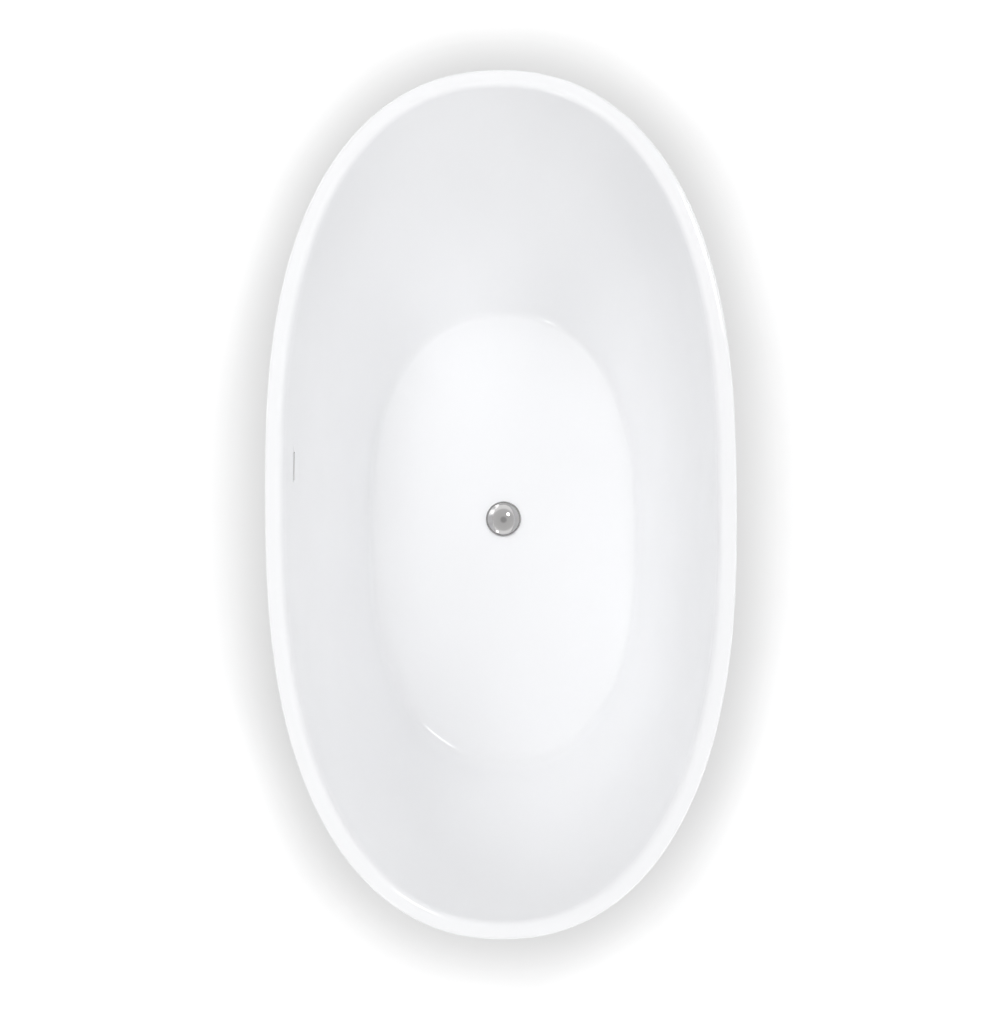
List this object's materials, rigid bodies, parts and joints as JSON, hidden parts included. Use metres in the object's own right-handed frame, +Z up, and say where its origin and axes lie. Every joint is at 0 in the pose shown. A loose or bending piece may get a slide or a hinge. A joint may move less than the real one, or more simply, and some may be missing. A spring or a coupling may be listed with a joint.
{
  "type": "freestanding bathtub",
  "caption": "Oval double-skinned freestanding bathtub with a rolled rim, central click drain, slot overflow and levelling feet.",
  "frame": {"origin": "on the floor, under the middle of the rim", "axes": "+Y along the tub towards its gently sloped head end, +X across the tub with the overflow slot on the -X side, +Z up"},
  "size_m": [0.812, 1.5, 0.58],
  "materials": {
    "acrylic": "deep gloss, white, moulded in one sheet",
    "glass_fibre": "rough sprayed laminate, straw coloured",
    "bonding_paste": "dull",
    "board": "raw chipboard",
    "galvanised_steel": "zinc coated, dull with spangle",
    "zinc_steel": "bright zinc",
    "black_plastic": "fine grain",
    "black_rubber": "dull",
    "white_plastic": "satin",
    "grey_hose": "satin, corrugated",
    "chrome": "polished",
    "brass": "turned",
    "spring_steel": "bright"
  },
  "bodies": {
    "root": {"basin": "acrylic", "outer_shell": "acrylic", "basin_laminate": "glass_fibre", "shell_laminate": "glass_fibre", "rim_bond": "bonding_paste", "base_board": "board", "rail_left": "galvanised_steel", "rail_right": "galvanised_steel", "cross_tube_head": "galvanised_steel", "cross_tube_middle": "galvanised_steel", "cross_tube_foot": "galvanised_steel", "tube_end_caps": "black_plastic", "rail_screws": "zinc_steel", "foot_inserts": "zinc_steel", "lock_nuts": "zinc_steel", "drain_flange": "chrome", "drain_gasket_upper": "black_rubber", "drain_gasket_lower": "black_rubber", "drain_body": "white_plastic", "tail_washer": "black_rubber", "tail_nut": "white_plastic", "tailpiece": "chrome", "click_cartridge": "white_plastic", "click_spring": "spring_steel", "overflow_gasket": "black_rubber", "overflow_box": "white_plastic", "overflow_hose": "grey_hose", "hose_clamp_upper": "spring_steel", "hose_clamp_lower": "spring_steel"},
    "plug": {"plug_cap": "chrome", "plug_seal": "black_rubber", "plug_stem": "brass"},
    "pad_1": {"foot_pad_1": "black_rubber"},
    "stud_1": {"foot_stud_1": "zinc_steel"},
    "pad_2": {"foot_pad_2": "black_rubber"},
    "stud_2": {"foot_stud_2": "zinc_steel"},
    "pad_3": {"foot_pad_3": "black_rubber"},
    "stud_3": {"foot_stud_3": "zinc_steel"},
    "pad_4": {"foot_pad_4": "black_rubber"},
    "stud_4": {"foot_stud_4": "zinc_steel"},
    "pad_5": {"foot_pad_5": "black_rubber"},
    "stud_5": {"foot_stud_5": "zinc_steel"}
  },
  "joints": [
    {"name": "plug_slide", "type": "slide", "parent": "root", "child": "plug", "axis": [0, 0, 1], "range_m": [0, 0.009], "deforming": ["click_spring"]},
    {"name": "foot_1_height", "type": "slide", "parent": "root", "child": "pad_1", "axis": [0, 0, -1], "range_m": [0, 0.025]},
    {"name": "foot_1_turn", "type": "hinge", "parent": "pad_1", "child": "stud_1", "pos_m": [-0.19, 0.294, 0.013], "axis": [0, 0, -1], "range_deg": [0, 5143.4]},
    {"name": "foot_2_height", "type": "slide", "parent": "root", "child": "pad_2", "axis": [0, 0, -1], "range_m": [0, 0.025]},
    {"name": "foot_2_turn", "type": "hinge", "parent": "pad_2", "child": "stud_2", "pos_m": [0.19, 0.294, 0.013], "axis": [0, 0, -1], "range_deg": [0, 5143.4]},
    {"name": "foot_3_height", "type": "slide", "parent": "root", "child": "pad_3", "axis": [0, 0, -1], "range_m": [0, 0.025]},
    {"name": "foot_3_turn", "type": "hinge", "parent": "pad_3", "child": "stud_3", "pos_m": [-0.19, -0.366, 0.013], "axis": [0, 0, -1], "range_deg": [0, 5143.4]},
    {"name": "foot_4_height", "type": "slide", "parent": "root", "child": "pad_4", "axis": [0, 0, -1], "range_m": [0, 0.025]},
    {"name": "foot_4_turn", "type": "hinge", "parent": "pad_4", "child": "stud_4", "pos_m": [0.19, -0.366, 0.013], "axis": [0, 0, -1], "range_deg": [0, 5143.4]},
    {"name": "foot_5_height", "type": "slide", "parent": "root", "child": "pad_5", "axis": [0, 0, -1], "range_m": [0, 0.025]},
    {"name": "foot_5_turn", "type": "hinge", "parent": "pad_5", "child": "stud_5", "pos_m": [0, 0.11, 0.013], "axis": [0, 0, -1], "range_deg": [0, 5143.4]}
  ],
  "couplings": [
    {"joint": "foot_1_turn", "follows": "foot_1_height", "rad_per_m": 3590.4},
    {"joint": "foot_2_turn", "follows": "foot_2_height", "rad_per_m": 3590.4},
    {"joint": "foot_3_turn", "follows": "foot_3_height", "rad_per_m": 3590.4},
    {"joint": "foot_4_turn", "follows": "foot_4_height", "rad_per_m": 3590.4},
    {"joint": "foot_5_turn", "follows": "foot_5_height", "rad_per_m": 3590.4}
  ]
}
